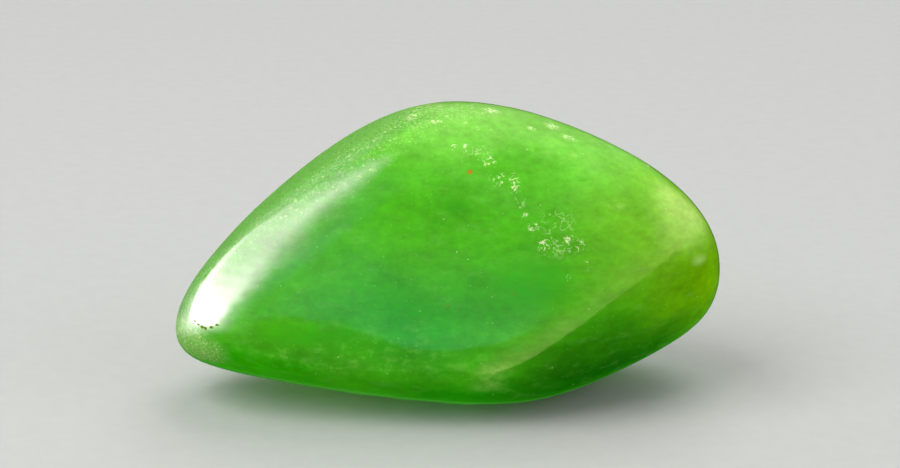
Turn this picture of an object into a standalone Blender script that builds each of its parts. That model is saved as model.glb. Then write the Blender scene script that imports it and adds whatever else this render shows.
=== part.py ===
"""A tumbled chrysoprase pebble, as one closed solid.

The stone is a convex lump whose sides are gently domed faces, worn into each other along broad soft edges.
The frame is in metres with +Z up. The long axis lies along X with the thin tip at -X, the broad front face
looks along -Y, and the origin is on the ground below the middle of the stone. It rests on a small flat that
is worn on its underside.
"""

import math

import bmesh
import bpy
import numpy as np
from mathutils import Vector

# Millimetres to metres
MM = 0.001

# The core is the point that every worn face is measured from, in millimetres above the ground.
CORE_HEIGHT = 8.5

# Half-lengths of the ball of points that is worn down to the stone, in millimetres
ROUGH_HALF_LENGTHS = (16.0, 7.0, 9.0)
ROUGH_SUBDIVISIONS = 5

# Each worn face: azimuth (0 is the front, 90 the right end) and elevation of its outward direction in
# degrees, then its reach from the core, the radius of its dome, and how far it is worn into its neighbours,
# in millimetres.
WORN_FACES = {
    "front": (0, 15, 6.6, 80, 0.8),
    "upper left bevel, lower run": (-94, 44, 11.3, 80, 1.0),
    "upper left bevel, upper run": (-96, 58, 9.2, 80, 1.0),
    "upper left, back side": (-146, 25, 9.8, 50, 1.0),
    "left shoulder": (-62, 18, 15.4, 40, 1.0),
    "left tip": (-88, -16, 18.1, 8, 0.7),
    "top": (-165, 72, 9.8, 45, 0.9),
    "top right, front side": (60, 71, 9.5, 100, 1.1),
    "top right, back side": (158, 38, 10.1, 60, 1.1),
    "upper right corner": (108, 40, 13.7, 60, 1.0),
    "right end": (90, 0, 16.6, 30, 1.0),
    "lower right facet": (30, -26, 10.5, 120, 0.7),
    "lower right, front underside": (60, -66, 10.6, 150, 0.6),
    "lower right, underneath": (100, -60, 13.5, 60, 0.8),
    "lower right corner": (80, -43, 17.0, 60, 0.7),
    "bottom bevel": (-13, -60, 9.1, 120, 0.8),
    "back": (176, 14, 7.3, 50, 1.2),
    "back, low down": (188, -24, 8.0, 50, 1.2),
    "base": (0, -90, 9.2, 80, 0.8),
}

# Shallow hollows left between the faces: azimuth and elevation of the place in degrees, depth at the middle
# and the distance over which it fades, in millimetres
WORN_HOLLOWS = {
    "low on the front, left": (-56, -6, 0.06, 3.0),
    "middle of the front": (-6, -8, 0.07, 3.0),
    "high on the right": (84, 34, 0.06, 3.2),
    "behind, left of the middle": (-156, 10, 0.16, 3.6),
    "behind, low on the right": (140, -20, 0.18, 3.4),
    "top, towards the back": (170, 58, 0.08, 3.0),
}

# Corners of the flat that the stone rests on, seen from above, in millimetres. The stone around it stays at
# least the clearance above the ground.
FLAT_CORNERS = ((4.9, -1.4), (5.7, 2.8), (-4.6, 3.0), (-5.2, -0.7))
FLAT_CLEARANCE = 0.3

# Points this close to the rim around the underside are moved onto it, in millimetres.
RIM_SNAP = 0.12

# No edge or hollow lies further than this from the core, in millimetres.
FURTHEST_REACH = 30.0
HALVINGS = 40

CHRYSOPRASE_GREEN = (0.146, 0.463, 0.073, 1.0)
POLISH_ROUGHNESS = 0.18


def clear_scene():
    for old in list(bpy.data.objects):
        bpy.data.objects.remove(old, do_unlink=True)


def direction(azimuth, elevation):
    """The unit vector of an azimuth, from the front towards the right end, and an elevation."""
    turn = math.radians(azimuth)
    lift = math.radians(elevation)
    return np.array(
        [
            math.sin(turn) * math.cos(lift),
            -math.cos(turn) * math.cos(lift),
            math.sin(lift),
        ]
    )


def wear_at(points):
    """How worn away the stone is at each point around the core: under 1 in the stone and over 1 outside it."""
    total = np.zeros(len(points))
    for azimuth, elevation, reach, dome, wear in WORN_FACES.values():
        outward = direction(azimuth, elevation)
        height = points @ outward
        aside = points - height[:, None] * outward
        sag = np.sum(aside * aside, axis=1) / (2 * dome)
        total += np.exp((height + sag - reach) / wear)
    return total


def hollow_depth(points):
    """How deep the shallow hollows are at each point of the surface."""
    depth = np.zeros(len(points))
    outward = points / np.linalg.norm(points, axis=1)[:, None]
    for azimuth, elevation, deepest, spread in WORN_HOLLOWS.values():
        place = direction(azimuth, elevation)
        # The distance along the surface is close to the distance from the ray through the hollow's middle.
        away = np.linalg.norm(points - (points @ place)[:, None] * place, axis=1)
        away = np.where(outward @ place > 0, away, FURTHEST_REACH)
        depth += deepest * np.exp(-((away / spread) ** 2))
    return depth


def worn_points(rays):
    """Where each ray from the core meets the worn surface, found by halving."""
    near = np.zeros(len(rays))
    far = np.full(len(rays), FURTHEST_REACH)
    for _ in range(HALVINGS):
        middle = (near + far) / 2
        inside = wear_at(rays * middle[:, None]) < 1
        near = np.where(inside, middle, near)
        far = np.where(inside, far, middle)
    surface = rays * near[:, None]
    return surface - rays * hollow_depth(surface)[:, None]


def place_above_origin(points):
    """Moves the stone from its core to its place above the origin."""
    placed = points + np.array([0.0, 0.0, CORE_HEIGHT])
    middle = (placed.min(axis=0) + placed.max(axis=0)) / 2
    placed[:, 0] -= middle[0]
    placed[:, 1] -= middle[1]
    return placed


def rim_in_order(lump):
    """The points around the open underside, one after the other, against the clock seen from above."""
    ahead = {}
    for edge in lump.edges:
        if edge.is_boundary:
            loop = edge.link_loops[0]
            ahead[loop.link_loop_next.vert] = loop.vert
    rim = [next(iter(ahead))]
    while ahead[rim[-1]] != rim[0]:
        rim.append(ahead[rim[-1]])
    middle = sum((vert.co for vert in rim), Vector()) / len(rim)
    turning = sum((rim[i - 1].co - middle).cross(rim[i].co - middle).z for i in range(len(rim)))
    return rim if turning > 0 else rim[::-1]


def open_underside(lump):
    """Takes away what lies below the clearance, and leaves a clean rim at that height."""
    height = FLAT_CLEARANCE * MM
    for vert in lump.verts:
        if abs(vert.co.z - height) < RIM_SNAP * MM:
            vert.co.z = height
    everything = lump.verts[:] + lump.edges[:] + lump.faces[:]
    bmesh.ops.bisect_plane(
        lump, geom=everything, dist=1e-7, plane_co=(0, 0, height), plane_no=(0, 0, -1), clear_outer=True
    )


def corner_below(place, rim, corners):
    """The corner of the flat that lies furthest out on this side, with the rim taken as an oval."""
    half_length = max(abs(vert.co.x) for vert in rim)
    half_depth = max(abs(vert.co.y) for vert in rim)
    outward = Vector((place.x / half_length**2, place.y / half_depth**2, 0))
    return max(corners, key=lambda corner: corner.co.dot(outward))


def wear_resting_flat(lump):
    """Closes the underside with a four-cornered flat on the ground and a band that slopes up to the rim."""
    open_underside(lump)
    corners = [lump.verts.new((x * MM, y * MM, 0.0)) for x, y in FLAT_CORNERS]
    rim = rim_in_order(lump)
    below = [corner_below((vert.co + rim[place - 1].co) / 2, rim, corners) for place, vert in enumerate(rim)]
    for place, vert in enumerate(rim):
        before = rim[place - 1]
        lump.faces.new((before, vert, below[place]))
        if below[place] != below[place - 1]:
            lump.faces.new((before, below[place], below[place - 1]))
    lump.faces.new(corners)


def polished_chrysoprase():
    material = bpy.data.materials.new("Polished chrysoprase")
    material.use_nodes = True
    shader = material.node_tree.nodes["Principled BSDF"]
    shader.inputs["Base Color"].default_value = CHRYSOPRASE_GREEN
    shader.inputs["Roughness"].default_value = POLISH_ROUGHNESS
    shader.inputs["Metallic"].default_value = 0.0
    material.diffuse_color = CHRYSOPRASE_GREEN
    return material


def pebble(collection):
    """A ball of triangles, each point of which is worn along its ray from the core."""
    lump = bmesh.new()
    bmesh.ops.create_icosphere(lump, subdivisions=ROUGH_SUBDIVISIONS, radius=1.0)
    rough = np.array([vert.co[:] for vert in lump.verts]) * ROUGH_HALF_LENGTHS
    rays = rough / np.linalg.norm(rough, axis=1)[:, None]
    for vert, place in zip(lump.verts, place_above_origin(worn_points(rays))):
        vert.co = place * MM
    wear_resting_flat(lump)
    bmesh.ops.recalc_face_normals(lump, faces=lump.faces)
    mesh = bpy.data.meshes.new("pebble")
    lump.to_mesh(mesh)
    lump.free()
    mesh.shade_smooth()
    mesh.materials.append(polished_chrysoprase())
    stone = bpy.data.objects.new("pebble", mesh)
    collection.objects.link(stone)
    return stone


def build():
    clear_scene()
    collection = bpy.data.collections.new("Tumbled chrysoprase")
    bpy.context.scene.collection.children.link(collection)
    pebble(collection)


build()
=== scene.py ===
import math

import bpy
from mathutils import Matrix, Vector, noise


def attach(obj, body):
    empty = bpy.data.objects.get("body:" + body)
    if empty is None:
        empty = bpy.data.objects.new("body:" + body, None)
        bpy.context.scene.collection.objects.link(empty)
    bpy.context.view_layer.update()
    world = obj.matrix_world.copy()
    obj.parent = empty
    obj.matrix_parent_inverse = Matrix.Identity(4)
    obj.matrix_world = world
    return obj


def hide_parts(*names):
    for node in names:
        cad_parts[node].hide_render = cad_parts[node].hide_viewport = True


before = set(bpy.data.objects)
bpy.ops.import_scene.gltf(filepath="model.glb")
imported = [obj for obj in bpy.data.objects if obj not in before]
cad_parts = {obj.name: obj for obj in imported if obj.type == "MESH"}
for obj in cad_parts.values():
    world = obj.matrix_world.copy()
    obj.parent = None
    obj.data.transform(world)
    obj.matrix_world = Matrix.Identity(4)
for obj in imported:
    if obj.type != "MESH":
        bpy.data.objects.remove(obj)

bl_info = {
    "name": "Tumbled chrysoprase pebble",
    "version": (1, 0, 0),
    "blender": (4, 5, 0),
    "location": "View3D > Sidebar > Chrysoprase",
    "description": "Makes a polished, translucent chrysoprase pebble and the stage that it lies on",
    "category": "Add Mesh",
}

MM = 0.001


class PebbleSettings(bpy.types.PropertyGroup):
    """The pebble's sizes, colours and polish."""

    flat_ring: bpy.props.FloatProperty(
        name="Flat ring",
        description="Width of each of the rings that round the edge of the resting flat",
        default=0.0006,
        unit="LENGTH",
        subtype="DISTANCE",
    )
    wander: bpy.props.FloatProperty(
        name="Wander",
        description="How far the polished sides wander from an even dome",
        default=0.00005,
        unit="LENGTH",
        subtype="DISTANCE",
    )
    ripple: bpy.props.FloatProperty(
        name="Ripple",
        description="Height of the faint ripple that polishing left",
        default=0.0000045,
        unit="LENGTH",
        subtype="DISTANCE",
    )
    frost_height: bpy.props.FloatProperty(
        name="Frost height",
        description="Height of the grain on the edge that the polish didn't reach",
        default=0.000025,
        unit="LENGTH",
        subtype="DISTANCE",
    )
    body_green: bpy.props.FloatVectorProperty(
        name="Body green",
        description="Colour of most of the stone",
        default=(0.1, 0.54, 0.008),
        subtype="COLOR",
    )
    # Top green is partly painted light: the top is made lighter and yellower as if lit from above. The same
    # green also colours the pale wisps and the frosted tip.
    top_green: bpy.props.FloatVectorProperty(
        name="Top green",
        description="Lighter, yellower colour towards the top",
        default=(0.3, 0.68, 0.12),
        subtype="COLOR",
    )
    milky_green: bpy.props.FloatVectorProperty(
        name="Milky green",
        description="Bluish, clouded colour low in the middle",
        default=(0.035, 0.42, 0.012),
        subtype="COLOR",
    )
    # End green is partly the stone's own yellow-olive and partly painted glow of light coming through the right
    # end.
    end_green: bpy.props.FloatVectorProperty(
        name="End green",
        description="Yellow-olive colour of the right end",
        default=(0.22, 0.52, 0.0005),
        subtype="COLOR",
    )
    # Partly the stone's own deeper green and partly painted shade on the lower right facet, which faces down
    # and away from the light.
    deep_shaded_green: bpy.props.FloatVectorProperty(
        name="Deep green",
        description="Bottle green of the lower right, where the stone is clearest",
        default=(0.001, 0.135, 0.0002),
        subtype="COLOR",
    )
    tip_green: bpy.props.FloatVectorProperty(
        name="Tip green",
        description="Full green of the left tip, along the bottom and in the dark streaks",
        default=(0.012, 0.4, 0.0003),
        subtype="COLOR",
    )
    # Painted glow: bright green low on the left tip, standing in for light coming through it.
    tip_glow_green: bpy.props.FloatVectorProperty(
        name="Fresh green",
        description="Bright green low on the left tip, where light comes through",
        default=(0.06, 0.66, 0.0005),
        subtype="COLOR",
    )
    frost_green: bpy.props.FloatVectorProperty(
        name="Frost green",
        description="Olive green of the frosted edge",
        default=(0.12, 0.37, 0.05),
        subtype="COLOR",
    )
    pale_yellow: bpy.props.FloatVectorProperty(
        name="Pale yellow",
        description="Colour of the pale clouds at the right end and of the yellow marks",
        default=(0.52, 0.74, 0.19),
        subtype="COLOR",
    )
    fleck_white: bpy.props.FloatVectorProperty(
        name="Fleck white",
        description="Colour of the healed crack's flecks, the glitter and the small chips",
        default=(0.85, 0.95, 0.5),
        subtype="COLOR",
    )
    speck_rust: bpy.props.FloatVectorProperty(
        name="Speck rust",
        description="Colour of the small rusty specks",
        default=(0.22, 0.16, 0.02),
        subtype="COLOR",
    )
    speck_orange: bpy.props.FloatVectorProperty(
        name="Speck orange",
        description="Colour of the one orange speck",
        default=(0.8, 0.17, 0.01),
        subtype="COLOR",
    )
    polish: bpy.props.FloatProperty(
        name="Polish",
        description="Roughness of the polished sides",
        default=0.07,
        min=0.0,
        max=1.0,
        subtype="FACTOR",
    )
    frost: bpy.props.FloatProperty(
        name="Frost",
        description="Roughness of the edge that the polish didn't reach",
        default=0.36,
        min=0.0,
        max=1.0,
        subtype="FACTOR",
    )
    translucence: bpy.props.FloatProperty(
        name="Translucence",
        description="Share of the light that spreads inside the stone",
        default=1.0,
        min=0.0,
        max=1.0,
        subtype="FACTOR",
    )
    spread: bpy.props.FloatProperty(
        name="Spread",
        description="How far light spreads inside the stone",
        default=0.0035,
        unit="LENGTH",
        subtype="DISTANCE",
    )


class StageSettings(bpy.types.PropertyGroup):
    """The floor, the lights and the camera."""

    floor_radius: bpy.props.FloatProperty(
        name="Floor radius",
        description="Radius of the round floor",
        default=1.5,
        unit="LENGTH",
        subtype="DISTANCE",
    )
    floor_grey: bpy.props.FloatVectorProperty(
        name="Floor grey",
        description="Colour of the plain floor",
        default=(0.52, 0.52, 0.505),
        subtype="COLOR",
    )
    camera_distance: bpy.props.FloatProperty(
        name="Camera distance",
        description="From the camera to the point that it looks at",
        default=0.147,
        unit="LENGTH",
        subtype="DISTANCE",
    )
    camera_height: bpy.props.FloatProperty(
        name="Camera height",
        description="Angle of the camera above the horizon",
        default=math.radians(18),
        subtype="ANGLE",
    )
    looks_at: bpy.props.FloatVectorProperty(
        name="Looks at",
        description="The point in the middle of the picture",
        default=(0.00014, 0.00028, 0.0096),
        unit="LENGTH",
        subtype="XYZ",
    )
    key: bpy.props.FloatProperty(
        name="Key light",
        description="Power of the large light high on the left",
        default=1.15,
        unit="POWER",
    )
    fill: bpy.props.FloatProperty(
        name="Fill light",
        description="Power of the soft light on the right",
        default=0.35,
        unit="POWER",
    )
    overhead: bpy.props.FloatProperty(
        name="Overhead light",
        description="Power of the light above and behind",
        default=0.55,
        unit="POWER",
    )
    daylight: bpy.props.FloatProperty(
        name="Daylight",
        description="Even light from all around",
        default=0.52,
    )


# Helpers

# Places of a Mix node's first and second value and of its result, for numbers and for colours
MIX_SOCKETS = {"FLOAT": (2, 3, 0), "RGBA": (6, 7, 2)}


class Recipe:
    """Adds nodes to one node tree, so that a finish reads as a list of steps."""

    def __init__(self, tree):
        self.tree = tree

    def put(self, node, **sockets):
        """Sets a node's inputs by name: a socket is linked and anything else is typed in."""
        for name, value in sockets.items():
            self.feed(node.inputs[name.replace("_", " ")], value)
        return node

    def feed(self, socket, value):
        """Links another socket to this one, or types a value in."""
        if isinstance(value, bpy.types.NodeSocket):
            self.tree.links.new(value, socket)
        elif socket.type == "RGBA" and len(value) == 3:
            socket.default_value = (*value, 1.0)
        else:
            socket.default_value = value

    def math(self, operation, first, second=0.0):
        node = self.tree.nodes.new("ShaderNodeMath")
        node.operation = operation
        self.feed(node.inputs[0], first)
        self.feed(node.inputs[1], second)
        return node.outputs[0]

    def vector_math(self, operation, first, second=(0.0, 0.0, 0.0)):
        node = self.tree.nodes.new("ShaderNodeVectorMath")
        node.operation = operation
        self.feed(node.inputs[0], first)
        if operation == "SCALE":
            self.feed(node.inputs["Scale"], second)
        else:
            self.feed(node.inputs[1], second)
        gives_number = operation in ("LENGTH", "DOT_PRODUCT")
        return node.outputs["Value" if gives_number else "Vector"]

    def ramp(self, value, low, high, bottom=0.0, top=1.0):
        """A soft step from bottom to top as the value goes from low to high."""
        node = self.tree.nodes.new("ShaderNodeMapRange")
        node.interpolation_type = "SMOOTHSTEP"
        self.feed(node.inputs["Value"], value)
        if low > high:
            low, high, bottom, top = high, low, top, bottom
        self.feed(node.inputs["From Min"], low)
        self.feed(node.inputs["From Max"], high)
        self.feed(node.inputs["To Min"], bottom)
        self.feed(node.inputs["To Max"], top)
        return node.outputs["Result"]

    def band(self, value, low, high, low_soft, high_soft):
        """1 between low and high, with a soft edge of its own width outside each."""
        return self.times(self.ramp(value, low - low_soft, low), self.ramp(value, high + high_soft, high))

    def mix(self, share, first, second, kind="RGBA"):
        """What lies this share of the way from the first colour or number to the second."""
        node = self.tree.nodes.new("ShaderNodeMix")
        node.data_type = kind
        first_socket, second_socket, result_socket = MIX_SOCKETS[kind]
        self.feed(node.inputs[0], share)
        self.feed(node.inputs[first_socket], first)
        self.feed(node.inputs[second_socket], second)
        return node.outputs[result_socket]

    def noise(self, place, scale, detail, roughness, distortion=0.0, output="Fac"):
        """Slow random values, with about this many changes to one unit of the places."""
        node = self.tree.nodes.new("ShaderNodeTexNoise")
        self.put(node, Vector=place, Scale=scale, Detail=detail, Roughness=roughness, Distortion=distortion)
        return node.outputs[output]

    def cells(self, place, scale):
        """Random cells, this many to one unit of the places."""
        node = self.tree.nodes.new("ShaderNodeTexVoronoi")
        self.put(node, Vector=place, Scale=scale)
        return node

    def scaled(self, place, scale, turn=(0.0, 0.0, 0.0), centre=(0.0, 0.0, 0.0)):
        """Places turned and scaled about a centre."""
        node = self.tree.nodes.new("ShaderNodeMapping")
        node.vector_type = "TEXTURE"
        self.put(node, Vector=place, Location=centre, Rotation=turn, Scale=scale)
        return node.outputs["Vector"]

    def patch(self, place, centre, reach, core=0.0):
        """1 within the core of an oval patch, which falls softly to 0 at its reach along X, Y and Z."""
        inside = self.vector_math("DIVIDE", self.vector_math("SUBTRACT", place, centre), reach)
        return self.ramp(self.vector_math("LENGTH", inside), 1.0, core)

    def oval(self, across, up, centre, radii):
        """Distance from the middle of a flat oval, 1 on its edge."""
        side = self.math("DIVIDE", self.math("SUBTRACT", across, centre[0]), radii[0])
        lift = self.math("DIVIDE", self.math("SUBTRACT", up, centre[1]), radii[1])
        square = self.plus(self.math("POWER", side, 2.0), self.math("POWER", lift, 2.0))
        return self.math("SQRT", square)

    def times(self, *values):
        result = values[0]
        for value in values[1:]:
            result = self.math("MULTIPLY", result, value)
        return result

    def plus(self, *values):
        result = values[0]
        for value in values[1:]:
            result = self.math("ADD", result, value)
        return result


def deselect_all():
    if bpy.context.object and bpy.context.object.mode != "OBJECT":
        bpy.ops.object.mode_set(mode="OBJECT")
    bpy.ops.object.select_all(action="DESELECT")


def select_only(piece):
    deselect_all()
    bpy.context.view_layer.objects.active = piece
    piece.select_set(True)


def apply_modifier(piece, kind, name, **settings):
    select_only(piece)
    modifier = piece.modifiers.new(name, kind)
    for setting, value in settings.items():
        setattr(modifier, setting, value)
    bpy.ops.object.modifier_apply(modifier=modifier.name)


# The stone's shape

# The underside's band and flat lie below this height, in millimetres.
UNDERSIDE_TOP = 0.31
# How far each ring in the place of the flat sinks below the one around it, in millimetres
RING_SINKS = (0.13, 0.1, 0.07)

# The sides wander by broad and fine noise: how many changes to a millimetre, and from where the noise is read
BROAD_CHANGES = 0.16
BROAD_START = Vector((3.1, 7.7, 1.9))
FINE_CHANGES = 0.45
FINE_START = Vector((11.3, 2.4, 5.2))
FINE_SHARE = 0.28
# The wander starts at this height and grows to its full size over this rise, in millimetres.
WANDER_STARTS = 0.3
WANDER_RISE = 1.5

# Points closer than this are one, in metres.
MERGE_DISTANCE = 0.000001
FEWEST_FACES = 10000


def round_the_flat(stone, settings):
    """Takes the frame's four-cornered flat off and sinks rings in its place, so that the edge is round."""
    select_only(stone)
    bpy.ops.object.mode_set(mode="EDIT")
    bpy.ops.mesh.select_mode(type="FACE")
    bpy.ops.mesh.select_all(action="DESELECT")
    bpy.ops.object.mode_set(mode="OBJECT")
    for polygon in stone.data.polygons:
        polygon.select = all(stone.data.vertices[i].co.z < UNDERSIDE_TOP * MM for i in polygon.vertices)
    bpy.ops.object.mode_set(mode="EDIT")
    bpy.ops.mesh.delete(type="FACE")
    bpy.ops.mesh.select_mode(type="VERT")
    bpy.ops.mesh.select_all(action="SELECT")
    bpy.ops.mesh.delete_loose()
    bpy.ops.mesh.select_all(action="DESELECT")
    bpy.ops.mesh.select_non_manifold(extend=False)
    bpy.ops.mesh.edge_face_add()
    bpy.ops.mesh.select_mode(type="FACE")
    for sink in RING_SINKS:
        bpy.ops.mesh.inset(thickness=settings.flat_ring, depth=sink * MM, use_even_offset=False)
    bpy.ops.mesh.select_all(action="SELECT")
    bpy.ops.mesh.normals_make_consistent(inside=False)
    bpy.ops.object.mode_set(mode="OBJECT")


def wander_from_dome(stone, settings):
    """Moves the sides in and out a little, as tumbling leaves them, and leaves the resting flat alone."""
    normals = [vert.normal.copy() for vert in stone.data.vertices]
    for vert, normal in zip(stone.data.vertices, normals):
        place = vert.co / MM
        broad = noise.noise(place * BROAD_CHANGES + BROAD_START)
        fine = noise.noise(place * FINE_CHANGES + FINE_START)
        free = min(max((vert.co.z / MM - WANDER_STARTS) / WANDER_RISE, 0.0), 1.0)
        vert.co += normal * settings.wander * free * (broad + FINE_SHARE * fine)


# The stone's finish

# Directions along which colours and polish change, from places in millimetres
UP_LEFT = (-0.62, 0.0, 0.78)
TOWARDS_TOP = (0.16, 0.05, 0.98)
# How far slow noise pushes the zones about, in millimetres, and how the clouds lean
ZONE_DRIFT = 4.0
CLOUD_TILT = (0.0, math.radians(6), 0.0)

# Shares of the brightness that are even, and that clouds, veins and mottling make
EVEN_BRIGHTNESS = 0.25
CLOUD_BRIGHTNESS = 0.7
VEIN_BRIGHTNESS = 0.12
MOTTLE_BRIGHTNESS = 0.66

# The stone's refractive index, and what the highest polish adds to it
STONE_IOR = 1.54
HIGHEST_POLISH = 0.86
# How far red, green and blue light go in the stone, as shares of its spread
REACH_BY_COLOUR = (0.45, 1.0, 0.25)

# Zones of colour, laid over each other in this order. Each has its middle and its reach along X, Y and Z in
# millimetres, the share of its reach that is even, how strongly it covers, and its colour.
COLOUR_ZONES = {
    # Partly the stone's own yellow-olive and partly painted glow of light coming through the right end.
    "right end": ((16.5, -1.0, 9.5), (9.5, 10.0, 8.5), 0.2, 1.0, "end_green"),
    "left tip": ((-12.0, -3.0, 3.0), (10.0, 9.0, 3.6), 0.2, 1.0, "tip_green"),
    "bottom": ((1.0, -6.0, 1.0), (9.0, 7.0, 2.8), 0.3, 1.0, "tip_green"),
    # Partly painted shade: the lower right is darkened as a facet that faces down and away from the light.
    "deep green with painted shade, lower right": ((8.6, -3.0, 2.0), (9.2, 8.0, 6.6), 0.28, 1.0, "deep_shaded_green"),
    "clear place high up": ((4.6, -4.4, 14.6), (4.4, 3.0, 1.5), 0.2, 0.6, "body_green"),
    # Painted glow of light coming through the left tip.
    "painted glow, low on the left tip": ((-12.5, -5.0, 2.8), (7.0, 5.0, 2.8), 0.2, 1.0, "tip_glow_green"),
    # The yellow side, the pale patch high on the right and the haze are partly the stone's own colour and
    # partly painted glow of light coming through the right end.
    "yellow with painted glow, right side": ((12.0, -4.0, 11.0), (7.5, 6.0, 5.5), 0.1, 0.55, "end_green"),
    "pale, high on the right": ((13.2, -3.0, 12.0), (3.2, 4.0, 3.0), 0.2, 0.7, "pale_yellow"),
    "haze on the right": ((9.5, -4.5, 11.5), (6.5, 5.0, 5.0), 0.1, 0.12, "pale_yellow"),
}

# Bright dots: how many cells to a millimetre, radius in millimetres, share of cells with a dot, and how
# strongly they cover
LARGE_GLITTER = (3.4, 0.085, 0.5, 0.7)
SMALL_GLITTER = (7.0, 0.05, 0.8, 0.5)
FINE_DUST = (3.5, 0.04, 0.5, 0.25)
COARSE_DUST = (1.5, 0.055, 0.55, 0.7)
# Shares of a dot's radius and of a knot's reach that are even
DOT_CORE = 0.4
KNOT_CORE = 0.4

# Larger patches, each with its middle and its reach along X, Y and Z in millimetres, and some with the share of
# the reach that is even
MILKY_MIDDLE = ((-2.0, -6.0, 6.5), (10.0, 9.0, 5.5))
CRUMBS = ((-5.0, -7.0, 4.6), (11.0, 4.0, 1.6), 0.3)
ROUGH_TIP = ((-15.3, -3.9, 4.25), (3.6, 3.6, 1.9), 0.5)

# Small marks, each with its middle and its reach along X, Y and Z, in millimetres
CRACK_KNOTS = (
    ((0.31, -3.9, 16.12), (0.3, 1.2, 0.26)),
    ((1.0, -3.9, 16.05), (0.3, 1.2, 0.3)),
    ((2.35, -4.1, 15.35), (0.5, 1.2, 0.4)),
    ((2.9, -4.6, 14.4), (0.7, 1.2, 0.45)),
    ((3.75, -4.6, 14.2), (0.42, 1.2, 0.75)),
    ((4.35, -5.1, 12.55), (0.25, 1.2, 0.25)),
    ((4.85, -5.3, 11.8), (0.42, 1.2, 0.45)),
    ((5.45, -5.6, 10.85), (0.5, 1.2, 0.5)),
    ((6.85, -5.45, 11.2), (0.5, 1.2, 0.4)),
    ((7.45, -5.5, 10.8), (0.5, 1.2, 0.4)),
    ((7.85, -5.7, 9.6), (0.22, 1.2, 0.45)),
    ((6.86, -6.0, 9.05), (0.25, 1.0, 0.25)),
)
FAINT_KNOTS = (
    ((1.8, -4.0, 15.8), (0.9, 1.2, 0.5)),
    ((4.1, -4.9, 13.3), (0.4, 1.2, 0.8)),
    ((6.2, -5.2, 12.0), (1.3, 1.2, 1.1)),
    ((6.3, -5.5, 10.8), (1.7, 1.2, 0.9)),
)
CHIPS = (
    ((-2.05, -1.4, 17.23), (0.55, 0.7, 0.3)),
    ((-0.7, -2.45, 17.24), (0.6, 0.3, 0.2)),
    ((1.05, -2.42, 17.17), (0.16, 0.2, 0.2)),
    ((1.73, -2.78, 16.92), (0.16, 0.25, 0.2)),
    ((2.56, -0.2, 17.27), (0.75, 0.8, 0.4)),
    ((4.84, -1.48, 16.56), (0.4, 0.4, 0.3)),
    ((6.1, -0.1, 16.34), (0.75, 0.9, 0.4)),
    ((7.1, -1.1, 15.9), (0.9, 0.5, 0.35)),
    ((11.65, -0.1, 13.93), (0.22, 0.4, 0.2)),
    ((-4.3, -4.4, 14.86), (0.45, 0.6, 0.13)),
    ((-5.0, -4.4, 14.5), (0.25, 0.6, 0.12)),
    ((-8.7, -4.1, 13.0), (0.25, 0.5, 0.16)),
    ((-9.15, -4.5, 12.2), (0.16, 0.5, 0.14)),
    ((9.5, 4.8, 9.5), (0.7, 0.7, 0.5)),
    ((-6.5, 6.6, 7.5), (0.5, 0.5, 0.4)),
    ((-3.0, 6.9, 12.0), (0.8, 0.6, 0.4)),
)
YELLOW_MARKS = (
    ((2.3, -6.9, 3.0), (1.4, 1.4, 0.9)),
    ((7.19, -2.88, 15.35), (0.6, 0.6, 0.28)),
    ((9.6, -4.5, 12.8), (0.9, 0.8, 0.25)),
    ((-0.3, -4.9, 14.0), (0.4, 0.6, 0.12)),
)
PALE_CLOUDS = (
    ((12.6, -2.9, 13.0), (1.1, 1.5, 0.9)),
    ((13.7, -3.2, 11.7), (1.3, 1.6, 1.7)),
    ((2.6, -7.0, 3.85), (1.5, 1.2, 0.7)),
)
DARK_STREAKS = (
    ((-8.6, -6.4, 5.7), (3.6, 2.0, 0.9)),
    ((4.8, -6.2, 8.7), (3.4, 2.5, 2.0)),
    ((7.66, -4.06, 14.22), (0.5, 0.8, 0.13)),
    ((0.42, -5.2, 13.0), (1.1, 1.0, 0.6)),
    ((4.31, -5.8, 10.75), (0.6, 0.8, 0.2)),
    ((3.9, -7.1, 5.2), (0.9, 1.0, 0.45)),
    ((-9.6, -5.6, 9.64), (0.35, 0.6, 0.06)),
    ((-9.6, -5.6, 9.36), (0.4, 0.6, 0.06)),
)
RUST_SPECKS = (
    ((-8.6, -6.2, 7.7), (0.18, 0.5, 0.12)),
    ((-7.2, -6.5, 7.0), (0.2, 0.5, 0.1)),
    ((0.03, -6.7, 7.6), (0.18, 0.5, 0.12)),
    ((3.8, -6.5, 8.2), (0.22, 0.5, 0.2)),
)
PITS = (
    ((-14.5, -4.8, 5.95), (0.11, 0.4, 0.09)),
    ((-14.3, -5.0, 5.84), (0.14, 0.4, 0.09)),
    ((-14.05, -5.15, 5.75), (0.15, 0.4, 0.13)),
    ((-13.85, -5.25, 5.72), (0.12, 0.4, 0.14)),
    ((-13.5, -5.45, 5.85), (0.16, 0.4, 0.09)),
    ((-13.15, -5.65, 6.05), (0.14, 0.4, 0.09)),
)
ORANGE_RING = (1.27, -4.55, 14.84)
BRIGHT_SPOT = ((14.46, -3.8, 9.35), (0.8, 1.2, 0.5))


def together(recipe, place, marks, core=0.2):
    """Where any of the marks is: 1 at their middles, falling softly to 0 at their reach."""
    found = 0.0
    for centre, reach in marks:
        found = recipe.math("MAXIMUM", found, recipe.patch(place, centre, reach, core))
    return found


def bright_dots(recipe, place, scale, radius, share, cover):
    """Round dots scattered through the stone, with no dot in some of the cells."""
    cells = recipe.cells(place, scale)
    pick = recipe.tree.nodes.new("ShaderNodeSeparateColor")
    recipe.put(pick, Color=cells.outputs["Color"])
    size = radius * scale
    dots = recipe.ramp(cells.outputs["Distance"], size, size * DOT_CORE)
    # A cell keeps its dot when its own random number is high enough, and some dots are fainter than others.
    kept = recipe.ramp(pick.outputs["Red"], 1.0 - share, 1.15 - share * 0.6)
    return recipe.times(dots, kept, cover)


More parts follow.
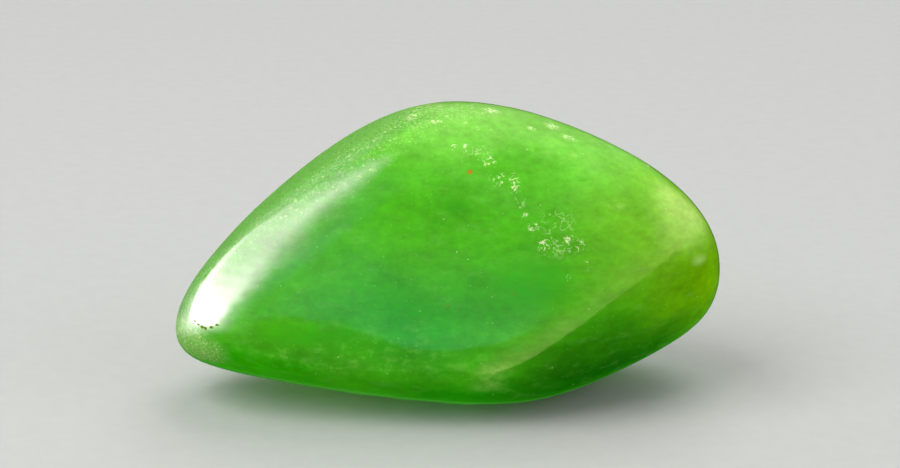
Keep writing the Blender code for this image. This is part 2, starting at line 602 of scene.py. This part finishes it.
def colour_zones(recipe, settings, place):
    """Slow changes of green through the stone, with clouds and thin veins drawn out along it; some zones are
    partly painted light: a lighter top, a glow on the left tip and at the right end, and shade on the lower
    right.
    """
    # Places pushed about by slow noise, so that no zone has an even edge
    drift = recipe.noise(place, 0.22, 3.0, 0.55, output="Color")
    pushed = recipe.vector_math("SUBTRACT", drift, (0.5, 0.5, 0.5))
    drifted = recipe.vector_math("ADD", place, recipe.vector_math("SCALE", pushed, ZONE_DRIFT))

    milky = recipe.patch(drifted, *MILKY_MIDDLE)
    colour = recipe.mix(milky, settings.body_green, settings.milky_green)
    # Painted light: towards the top the colour is made lighter and yellower, as if lit from above.
    rise = recipe.vector_math("DOT_PRODUCT", drifted, TOWARDS_TOP)
    colour = recipe.mix(recipe.ramp(rise, 12.0, 17.6, bottom=0.0, top=0.85), colour, settings.top_green)
    for centre, reach, core, cover, green in COLOUR_ZONES.values():
        share = recipe.times(recipe.patch(drifted, centre, reach, core), cover)
        colour = recipe.mix(share, colour, getattr(settings, green))

    clouds = recipe.noise(recipe.scaled(place, (3.4, 3.0, 1.5), turn=CLOUD_TILT), 1.0, 3.0, 0.5)
    veins = recipe.noise(recipe.scaled(place, (1.5, 1.5, 0.24)), 1.0, 3.0, 0.6)
    mottle = recipe.noise(recipe.scaled(place, (1.0, 1.0, 0.75)), 1.6, 4.0, 0.65)
    brightness = recipe.plus(
        EVEN_BRIGHTNESS,
        recipe.times(clouds, CLOUD_BRIGHTNESS),
        recipe.times(veins, VEIN_BRIGHTNESS),
        recipe.times(mottle, MOTTLE_BRIGHTNESS),
    )
    shaded = recipe.tree.nodes.new("ShaderNodeHueSaturation")
    recipe.put(shaded, Color=colour, Value=brightness)
    wisps = recipe.noise(recipe.scaled(place, (1.5, 1.5, 0.7)), 1.0, 4.0, 0.62)
    wispy = recipe.ramp(wisps, 0.5, 0.8, bottom=0.0, top=0.25)
    colour = recipe.mix(wispy, shaded.outputs["Color"], settings.top_green)
    crumbs = recipe.times(recipe.ramp(mottle, 0.5, 0.68), recipe.patch(place, *CRUMBS), 0.14)
    return recipe.mix(crumbs, colour, settings.pale_yellow), mottle


def frosted_edge(recipe, place, across, deep, up_left, mottle):
    """Where the polish didn't reach: outside a curved line high on the left, and around the tip."""
    # The line seen from above: a shallow curve along the stone, which comes forward near the tip
    curve = recipe.times(recipe.math("POWER", recipe.math("ADD", across, 9.0), 2.0), 0.027)
    behind_curve = recipe.math("SUBTRACT", recipe.math("ADD", deep, 4.15), curve)
    near_tip = recipe.math("MAXIMUM", recipe.math("SUBTRACT", -14.0, across), 0.0)
    uneven = recipe.times(recipe.math("SUBTRACT", mottle, 0.5), 0.5)
    past_edge = recipe.plus(behind_curve, recipe.times(near_tip, 1.2), uneven)
    not_behind = recipe.ramp(past_edge, 8.0, 5.0)
    before_top = recipe.ramp(across, 0.5, -3.0)
    high = recipe.ramp(up_left, 11.3, 13.0)
    along_line = recipe.times(recipe.ramp(past_edge, 0.0, 0.2), not_behind, high, before_top)
    around_tip = recipe.patch(place, *ROUGH_TIP)
    frosted = recipe.math("MAXIMUM", along_line, around_tip)
    nearby = recipe.times(recipe.ramp(past_edge, -1.6, 0.2), not_behind, recipe.ramp(up_left, 10.0, 13.0))
    return frosted, recipe.math("MAXIMUM", nearby, around_tip), around_tip


def healed_crack(recipe, place, deep, grain):
    """Curled pale flakes in knots along the crack on the front, and a fine lace where it runs on behind."""
    curl_noise = recipe.noise(place, 2.5, 1.0, 0.5, distortion=0.3)
    curls = recipe.ramp(recipe.math("ABSOLUTE", recipe.math("SUBTRACT", curl_noise, 0.5)), 0.055, 0.015)
    broken = recipe.ramp(recipe.noise(place, 5.5, 2.0, 0.6), 0.43, 0.53)
    knots = together(recipe, place, CRACK_KNOTS, KNOT_CORE)
    faint = recipe.times(together(recipe, place, FAINT_KNOTS, KNOT_CORE), 0.4)
    flecks = recipe.times(curls, broken, recipe.math("MAXIMUM", knots, faint))
    flakes = recipe.times(recipe.ramp(grain, 0.55, 0.64), recipe.ramp(knots, 0.6, 1.0), 0.7)

    # Behind, the crack is a slanting sheet that wobbles.
    wobble = recipe.times(recipe.math("SUBTRACT", recipe.noise(place, 0.35, 3.0, 0.6), 0.5), 3.4)
    from_sheet = recipe.plus(recipe.vector_math("DOT_PRODUCT", place, (0.65, 0.12, 0.75)), wobble, -12.35)
    near_sheet = recipe.ramp(recipe.math("ABSOLUTE", from_sheet), 0.6, 0.15)
    lace = recipe.times(curls, broken, near_sheet, recipe.ramp(deep, -2.0, 0.5), 0.6)
    return recipe.math("MAXIMUM", recipe.math("MAXIMUM", flecks, flakes), lace)


def with_marks(recipe, settings, place, colour, broken_up):
    """The colour with its clouds, one bright spot, yellow marks and dark streaks."""
    clouded = recipe.times(together(recipe, place, PALE_CLOUDS, 0.0), broken_up, 0.6)
    colour = recipe.mix(clouded, colour, settings.pale_yellow)
    spot = recipe.times(recipe.patch(place, *BRIGHT_SPOT), 0.75)
    colour = recipe.mix(spot, colour, settings.pale_yellow)
    yellowed = recipe.times(together(recipe, place, YELLOW_MARKS, 0.0), broken_up, 0.4)
    colour = recipe.mix(yellowed, colour, settings.pale_yellow)
    darkened = recipe.times(together(recipe, place, DARK_STREAKS), broken_up, 0.5)
    return recipe.mix(darkened, colour, settings.tip_green)


def with_glitter(recipe, settings, place, colour, grain, near_frost, around_tip):
    """The colour with tiny broken grains on and near the frosted edge, and bright dust all over."""
    large_dots = recipe.times(bright_dots(recipe, place, *LARGE_GLITTER), near_frost)
    small_dots = recipe.times(bright_dots(recipe, place, *SMALL_GLITTER), near_frost)
    crushed = recipe.plus(recipe.times(near_frost, 0.3), recipe.times(around_tip, 0.7))
    grains = recipe.times(recipe.ramp(grain, 0.52, 0.64), crushed)
    glitter = recipe.math("MAXIMUM", recipe.math("MAXIMUM", large_dots, small_dots), grains)
    colour = recipe.mix(glitter, colour, settings.fleck_white)
    for dust in (FINE_DUST, COARSE_DUST):
        colour = recipe.mix(bright_dots(recipe, place, *dust), colour, settings.fleck_white)
    return colour


def with_rust(recipe, settings, place, colour, deep, grain, broken_up, pits):
    """The colour with rusty specks, one orange ring and the row of small pits near the tip."""
    front_specks = recipe.times(together(recipe, place, RUST_SPECKS), broken_up, 0.4)
    rust_cells = recipe.cells(place, 0.42)
    specks = recipe.ramp(rust_cells.outputs["Distance"], 0.035, 0.015)
    specks_behind = recipe.times(specks, recipe.ramp(deep, -2.0, 0.0))
    colour = recipe.mix(recipe.math("MAXIMUM", front_specks, specks_behind), colour, settings.speck_rust)
    from_ring = recipe.vector_math("LENGTH", recipe.scaled(place, (1.0, 3.0, 0.85), centre=ORANGE_RING))
    from_ring = recipe.plus(from_ring, recipe.times(recipe.math("SUBTRACT", grain, 0.5), 0.18))
    ring = recipe.times(recipe.ramp(from_ring, 0.17, 0.09), recipe.ramp(from_ring, 0.0, 0.05), 0.9)
    colour = recipe.mix(ring, colour, settings.speck_orange)
    return recipe.mix(recipe.times(pits, 0.8), colour, settings.speck_rust)


def set_gloss(recipe, shader, settings, place, grain, unpolished):
    """Smooth where polished, with faint smudges, and rough on the frosted edge, the chips and the pits."""
    smudge = recipe.noise(place, 0.7, 4.0, 0.6)
    polish = recipe.ramp(smudge, 0.3, 0.75, bottom=settings.polish * 0.7, top=settings.polish * 1.5)
    frost = recipe.ramp(grain, 0.3, 0.7, bottom=settings.frost * 0.7, top=settings.frost * 1.2)
    recipe.feed(shader.inputs["Roughness"], recipe.mix(unpolished, polish, frost, kind="FLOAT"))


def set_relief(recipe, shader, settings, place, grain, unpolished):
    """Relief too fine to model: ripple of the polish, and the grain of what it didn't reach."""
    ripple_bump = recipe.tree.nodes.new("ShaderNodeBump")
    ripple = recipe.noise(place, 0.9, 3.0, 0.5)
    recipe.put(ripple_bump, Strength=1.0, Distance=settings.ripple, Height=ripple)
    frost_bump = recipe.tree.nodes.new("ShaderNodeBump")
    recipe.put(
        frost_bump,
        Strength=unpolished,
        Distance=settings.frost_height,
        Height=grain,
        Normal=ripple_bump.outputs["Normal"],
    )
    recipe.feed(shader.inputs["Normal"], frost_bump.outputs["Normal"])


def chrysoprase(settings):
    """Polished, clouded green stone that light goes into, with its frosted edge, healed crack and specks."""
    material = bpy.data.materials.new("Polished chrysoprase")
    material.use_nodes = True
    tree = material.node_tree
    recipe = Recipe(tree)
    shader = tree.nodes["Principled BSDF"]
    object_place = tree.nodes.new("ShaderNodeTexCoord").outputs["Object"]
    place = recipe.vector_math("SCALE", object_place, 1 / MM)
    split = tree.nodes.new("ShaderNodeSeparateXYZ")
    recipe.put(split, Vector=place)
    across, deep = split.outputs["X"], split.outputs["Y"]
    up_left = recipe.vector_math("DOT_PRODUCT", place, UP_LEFT)
    grain = recipe.noise(place, 6.0, 5.0, 0.7)

    colour, mottle = colour_zones(recipe, settings, place)
    frosted, near_frost, around_tip = frosted_edge(recipe, place, across, deep, up_left, mottle)
    colour = recipe.mix(recipe.times(frosted, 0.6), colour, settings.frost_green)
    darker_grains = recipe.times(frosted, recipe.ramp(grain, 0.48, 0.34), 0.45)
    colour = recipe.mix(darker_grains, colour, settings.tip_green)
    colour = recipe.mix(recipe.times(around_tip, 0.75), colour, settings.top_green)

    # The mottling breaks up the edges of the pale, dark and rusty marks.
    broken_up = recipe.ramp(mottle, 0.38, 0.62, bottom=0.35, top=1.0)
    colour = with_marks(recipe, settings, place, colour, broken_up)
    colour = with_glitter(recipe, settings, place, colour, grain, near_frost, around_tip)
    colour = recipe.mix(healed_crack(recipe, place, deep, grain), colour, settings.fleck_white)
    chips = recipe.times(together(recipe, place, CHIPS), recipe.ramp(grain, 0.44, 0.56))
    colour = recipe.mix(recipe.times(chips, 0.7), colour, settings.fleck_white)
    pits = together(recipe, place, PITS, 0.5)
    colour = with_rust(recipe, settings, place, colour, deep, grain, broken_up, pits)
    recipe.feed(shader.inputs["Base Color"], colour)

    unpolished = recipe.math("MAXIMUM", frosted, recipe.math("MAXIMUM", chips, pits))
    set_gloss(recipe, shader, settings, place, grain, unpolished)
    set_relief(recipe, shader, settings, place, grain, unpolished)
    # The right end took the polish less well than the rest, and the frosted edge and the pits hardly at all.
    dull = recipe.plus(recipe.times(unpolished, -0.34), recipe.times(around_tip, 0.2))
    dull = recipe.plus(dull, recipe.times(pits, -0.3))
    shine = recipe.plus(0.5, dull)
    towards_end = recipe.ramp(across, 12.0, 1.0, bottom=0.3, top=1.0)
    recipe.feed(shader.inputs["Specular IOR Level"], recipe.times(shine, towards_end))
    # The worn edge high on the left took the highest polish.
    glossiest = recipe.times(recipe.ramp(up_left, 12.2, 13.2), recipe.ramp(across, -1.0, -4.0))
    recipe.feed(shader.inputs["IOR"], recipe.plus(STONE_IOR, recipe.times(glossiest, HIGHEST_POLISH)))

    shader.inputs["Metallic"].default_value = 0.0
    shader.inputs["Subsurface Weight"].default_value = settings.translucence
    shader.inputs["Subsurface Radius"].default_value = REACH_BY_COLOUR
    shader.inputs["Subsurface Scale"].default_value = settings.spread
    return material


class CHRYSOPRASE_OT_polish_pebble(bpy.types.Operator):
    """Makes the polished pebble from the frame's plain one"""

    bl_idname = "chrysoprase.polish_pebble"
    bl_label = "Polish the pebble"

    def execute(self, context):
        settings = context.scene.chrysoprase_pebble
        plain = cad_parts["pebble"]
        stone = bpy.data.objects.new("polished_pebble", plain.data.copy())
        context.scene.collection.objects.link(stone)
        select_only(stone)
        bpy.ops.object.mode_set(mode="EDIT")
        bpy.ops.mesh.select_all(action="SELECT")
        bpy.ops.mesh.remove_doubles(threshold=MERGE_DISTANCE)
        bpy.ops.object.mode_set(mode="OBJECT")
        round_the_flat(stone, settings)
        apply_modifier(stone, "SUBSURF", "Smooth sides", levels=2, render_levels=2)
        select_only(stone)
        bpy.ops.object.mode_set(mode="EDIT")
        bpy.ops.mesh.select_all(action="SELECT")
        bpy.ops.mesh.vertices_smooth(factor=0.5, repeat=3)
        bpy.ops.object.mode_set(mode="OBJECT")
        wander_from_dome(stone, settings)
        lowest = min(vert.co.z for vert in stone.data.vertices)
        for vert in stone.data.vertices:
            vert.co.z -= lowest
        stone.data.shade_smooth()
        stone.data.materials.clear()
        stone.data.materials.append(chrysoprase(settings))
        if len(stone.data.polygons) < FEWEST_FACES:
            raise RuntimeError("the pebble came out too coarse to polish")
        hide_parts("pebble")
        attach(stone, "root")
        return {"FINISHED"}


# The stage

# Widths of the floor's rings, as shares of its radius
FLOOR_RINGS = (0.6, 0.3)
# How many grains the floor's surface has to a metre, and how much darker they are
FLOOR_GRAINS = 900.0
FLOOR_DARKER = 0.97

SOFTBOX_DISTANCE = 0.4
SOFTBOX_WIDTH = 0.3

# The camera's lens and sensor, in millimetres, and the nearest that it sees, in metres
LENS = 100
SENSOR = 36
NEAREST = 0.01

DEGREES = 180.0 / math.pi

# What the polish mirrors: how bright each thing is, and its tint
GLOWS = {
    "window": (1.25, (0.36, 0.85, 0.72)),
    "screen": (1.9, (0.85, 0.85, 0.3)),
    "left softbox": (3.1, (0.97, 0.72, 0.9)),
    "lamp": (7.5, (1.0, 0.95, 0.92)),
    "overhead": (0.12, (0.6, 1.0, 0.45)),
    "rear window": (0.15, (0.7, 1.0, 0.6)),
    "room": (0.05, (0.9, 1.0, 0.4)),
    "backdrop": (0.06, (0.5, 0.9, 0.4)),
    "green below": (0.3, (0.1, 1.0, 0.02)),
    "table": (0.26, (0.8, 1.0, 0.35)),
}


def lay_floor(settings):
    """A large round floor with a slightly uneven, matt surface."""
    bpy.ops.mesh.primitive_circle_add(
        vertices=96, radius=settings.floor_radius, fill_type="NGON", location=(0, 0, 0)
    )
    floor = bpy.context.object
    floor.name = "floor"
    bpy.ops.object.mode_set(mode="EDIT")
    for ring in FLOOR_RINGS:
        bpy.ops.mesh.inset(thickness=settings.floor_radius * ring)
    bpy.ops.object.mode_set(mode="OBJECT")
    material = bpy.data.materials.new("Plain floor")
    material.use_nodes = True
    tree = material.node_tree
    recipe = Recipe(tree)
    shader = tree.nodes["Principled BSDF"]
    place = tree.nodes.new("ShaderNodeTexCoord").outputs["Object"]
    grains = recipe.noise(place, FLOOR_GRAINS, 3.0, 0.6)
    darker = tuple(value * FLOOR_DARKER for value in settings.floor_grey)
    colour = recipe.mix(recipe.ramp(grains, 0.3, 0.7), darker, settings.floor_grey)
    recipe.feed(shader.inputs["Base Color"], colour)
    shader.inputs["Roughness"].default_value = 0.9
    shader.inputs["Specular IOR Level"].default_value = 0.1
    floor.data.materials.append(material)
    # The stone takes its light from the studio alone, which keeps its underside a clear green.
    floor.visible_glossy = False
    floor.visible_diffuse = False


def towards(azimuth, elevation):
    """The unit vector of an azimuth, from the front towards the right end, and an elevation, in degrees."""
    turn = math.radians(azimuth)
    lift = math.radians(elevation)
    return Vector((math.sin(turn) * math.cos(lift), -math.cos(turn) * math.cos(lift), math.sin(lift)))


def hang_softbox(name, azimuth, elevation, power, tint):
    """A square light that faces the stone and that neither the camera nor the polish sees."""
    bpy.ops.object.light_add(type="AREA", location=towards(azimuth, elevation) * SOFTBOX_DISTANCE)
    lamp = bpy.context.object
    lamp.name = name
    lamp.data.shape = "SQUARE"
    lamp.data.size = SOFTBOX_WIDTH
    lamp.data.energy = power
    lamp.data.color = tint
    lamp.rotation_euler = (-towards(azimuth, elevation)).to_track_quat("-Z", "Y").to_euler()
    lamp.visible_camera = False
    lamp.visible_glossy = False


def window_and_table(recipe, azimuth, elevation):
    """The low, wide window behind the camera, brightest along its wavy sill, and the table below the sill."""
    bulge = recipe.times(recipe.ramp(azimuth, -34.0, -13.0), recipe.ramp(azimuth, -3.0, -12.5))
    sill = recipe.plus(-4.3, recipe.times(bulge, 6.9))
    from_sill = recipe.math("SUBTRACT", elevation, sill)
    above_sill = recipe.ramp(from_sill, -0.7, 0.7)
    fading = recipe.ramp(from_sill, 0.0, 22.0, bottom=1.0, top=0.16)
    sides = recipe.band(azimuth, -14.0, 9.0, 24.0, 9.0)
    window = recipe.times(above_sill, sides, fading, recipe.ramp(elevation, 40.0, 26.0))
    near_edge = recipe.math("MAXIMUM", recipe.plus(-28.5, recipe.times(azimuth, 0.806)), -51.0)
    table = recipe.times(
        recipe.ramp(recipe.math("SUBTRACT", elevation, near_edge), -1.2, 1.2),
        recipe.math("SUBTRACT", 1.0, above_sill),
        recipe.ramp(azimuth, 30.0, 8.0),
        recipe.ramp(azimuth, -110.0, -70.0),
    )
    return window, table


def slanted_screen(recipe, azimuth, elevation):
    """The warm screen to the right of the camera, with a crisp right edge."""
    slant = recipe.math("SUBTRACT", azimuth, recipe.math("MULTIPLY", elevation, 1.05))
    width = recipe.times(recipe.ramp(slant, 4.0, 40.0), recipe.ramp(slant, 51.0, 49.5))
    shape = recipe.times(width, recipe.band(elevation, -31.0, 4.0, 5.0, 14.0))
    brighter = recipe.ramp(azimuth, 12.0, 42.0, bottom=1.15, top=2.2)
    return recipe.times(shape, recipe.ramp(azimuth, 3.0, 15.0), brighter)


def left_softbox(recipe, azimuth, elevation):
    """The tall softbox on the left, which leans and is brightest towards its outer edge."""
    low = recipe.math("MAXIMUM", recipe.math("SUBTRACT", 14.0, elevation), 0.0)
    leaning = recipe.plus(azimuth, recipe.times(low, 1.8))
    fading = recipe.ramp(azimuth, -120.0, -70.0, bottom=0.85, top=1.0)
    profile = recipe.times(recipe.ramp(leaning, -15.0, -42.0), fading)
    height = recipe.band(elevation, 6.0, 35.0, 10.0, 27.0)
    return recipe.times(profile, recipe.ramp(azimuth, -142.0, -134.0), height)


def bare_lamp(recipe, azimuth, elevation):
    """The lamp low on the left, with its halo."""
    from_lamp = recipe.oval(azimuth, elevation, centre=(-86.0, 1.5), radii=(44.0, 13.5))
    halo = recipe.times(recipe.ramp(from_lamp, 2.1, 0.9), recipe.ramp(azimuth, -22.0, -48.0), 0.45)
    lamp = recipe.plus(recipe.ramp(from_lamp, 1.08, 0.72), halo)
    return recipe.times(lamp, recipe.ramp(azimuth, -138.0, -124.0))


def mirrored_studio(recipe, azimuth, elevation):
    """What the polish mirrors: softboxes and a dim room above the table, and the table below."""
    seen = {}
    seen["window"], seen["table"] = window_and_table(recipe, azimuth, elevation)
    seen["screen"] = slanted_screen(recipe, azimuth, elevation)
    seen["left softbox"] = left_softbox(recipe, azimuth, elevation)
    seen["lamp"] = bare_lamp(recipe, azimuth, elevation)
    # A softbox above and behind on the right, and a small window straight behind the stone
    overhead = recipe.band(azimuth, 130.0, 176.0, 70.0, 4.0)
    seen["overhead"] = recipe.times(overhead, recipe.band(elevation, 14.0, 50.0, 14.0, 25.0))
    turned = recipe.math("ABSOLUTE", azimuth)
    rear = recipe.ramp(turned, 168.0, 176.0)
    seen["rear window"] = recipe.times(rear, recipe.band(elevation, 14.0, 40.0, 6.0, 10.0))
    # The dim room, a backdrop behind the stone, and the green light that the stone throws on the table
    seen["room"] = recipe.ramp(elevation, -2.0, 4.0)
    backdrop = recipe.ramp(turned, 125.0, 150.0)
    seen["backdrop"] = recipe.times(backdrop, recipe.band(elevation, -30.0, 12.0, 8.0, 8.0))
    seen["green below"] = recipe.ramp(elevation, -16.0, -34.0)
    total = (0.0, 0.0, 0.0)
    for name, (strength, tint) in GLOWS.items():
        lit = recipe.vector_math("SCALE", tint, recipe.math("MULTIPLY", seen[name], strength))
        total = recipe.vector_math("ADD", lit, total)
    return total


def light_the_room(settings):
    """Even daylight for the stone's body, and a drawn studio for what its polish mirrors."""
    world = bpy.data.worlds.new("Studio")
    bpy.context.scene.world = world
    world.use_nodes = True
    tree = world.node_tree
    tree.nodes.clear()
    recipe = Recipe(tree)
    facing = tree.nodes.new("ShaderNodeTexCoord").outputs["Generated"]
    split = tree.nodes.new("ShaderNodeSeparateXYZ")
    recipe.put(split, Vector=facing)
    backwards = recipe.math("MULTIPLY", split.outputs["Y"], -1.0)
    azimuth = recipe.math("MULTIPLY", recipe.math("ARCTAN2", split.outputs["X"], backwards), DEGREES)
    elevation = recipe.math("MULTIPLY", recipe.math("ARCSINE", split.outputs["Z"]), DEGREES)
    mirrored = tree.nodes.new("ShaderNodeBackground")
    recipe.put(mirrored, Color=mirrored_studio(recipe, azimuth, elevation), Strength=1.0)
    even = tree.nodes.new("ShaderNodeBackground")
    even_strength = recipe.ramp(elevation, -12.0, 6.0, bottom=settings.daylight * 0.8, top=settings.daylight)
    recipe.put(even, Color=(0.97, 1.0, 1.0), Strength=even_strength)
    rays = tree.nodes.new("ShaderNodeLightPath")
    both = tree.nodes.new("ShaderNodeMixShader")
    tree.links.new(rays.outputs["Is Glossy Ray"], both.inputs[0])
    tree.links.new(even.outputs[0], both.inputs[1])
    tree.links.new(mirrored.outputs[0], both.inputs[2])
    output = tree.nodes.new("ShaderNodeOutputWorld")
    tree.links.new(both.outputs[0], output.inputs["Surface"])


def set_camera(settings):
    """A camera with a long lens, at the height and side from which the stone was pictured."""
    height = settings.camera_height
    away = Vector((0, -math.cos(height), math.sin(height)))
    place = Vector(settings.looks_at) + away * settings.camera_distance
    bpy.ops.object.camera_add(location=place, rotation=(math.pi / 2 - height, 0, 0))
    camera = bpy.context.object
    camera.name = "camera"
    camera.data.lens = LENS
    camera.data.sensor_width = SENSOR
    camera.data.clip_start = NEAREST
    bpy.context.scene.camera = camera


class CHRYSOPRASE_OT_set_stage(bpy.types.Operator):
    """Lays the floor, hangs the lights and sets the camera"""

    bl_idname = "chrysoprase.set_stage"
    bl_label = "Set the stage"

    def execute(self, context):
        settings = context.scene.chrysoprase_stage
        deselect_all()
        lay_floor(settings)
        deselect_all()
        hang_softbox("key light", -55, 50, settings.key, (1.0, 1.0, 1.0))
        hang_softbox("fill light", 65, 22, settings.fill, (1.0, 0.99, 0.97))
        hang_softbox("overhead light", 150, 60, settings.overhead, (1.0, 1.0, 1.0))
        light_the_room(settings)
        set_camera(settings)
        context.scene.view_settings.view_transform = "Standard"
        context.scene.view_settings.look = "None"
        if context.scene.camera is None:
            raise RuntimeError("the stage has no camera")
        return {"FINISHED"}


class CHRYSOPRASE_PT_sidebar(bpy.types.Panel):
    """Lists the steps that make the pebble and its stage"""

    bl_label = "Tumbled chrysoprase"
    bl_idname = "CHRYSOPRASE_PT_sidebar"
    bl_space_type = "VIEW_3D"
    bl_region_type = "UI"
    bl_category = "Chrysoprase"

    def draw(self, context):
        for settings, operator in (
            (context.scene.chrysoprase_pebble, CHRYSOPRASE_OT_polish_pebble),
            (context.scene.chrysoprase_stage, CHRYSOPRASE_OT_set_stage),
        ):
            box = self.layout.box()
            for name in settings.__annotations__:
                box.prop(settings, name)
            box.operator(operator.bl_idname)


CLASSES = (
    PebbleSettings,
    StageSettings,
    CHRYSOPRASE_OT_polish_pebble,
    CHRYSOPRASE_OT_set_stage,
    CHRYSOPRASE_PT_sidebar,
)


def register():
    for cls in CLASSES:
        bpy.utils.register_class(cls)
    bpy.types.Scene.chrysoprase_pebble = bpy.props.PointerProperty(type=PebbleSettings)
    bpy.types.Scene.chrysoprase_stage = bpy.props.PointerProperty(type=StageSettings)


def unregister():
    del bpy.types.Scene.chrysoprase_stage
    del bpy.types.Scene.chrysoprase_pebble
    for cls in reversed(CLASSES):
        bpy.utils.unregister_class(cls)


def main():
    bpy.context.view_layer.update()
    register()
    bpy.ops.chrysoprase.polish_pebble()
    bpy.ops.chrysoprase.set_stage()


if __name__ == "__main__":
    main()
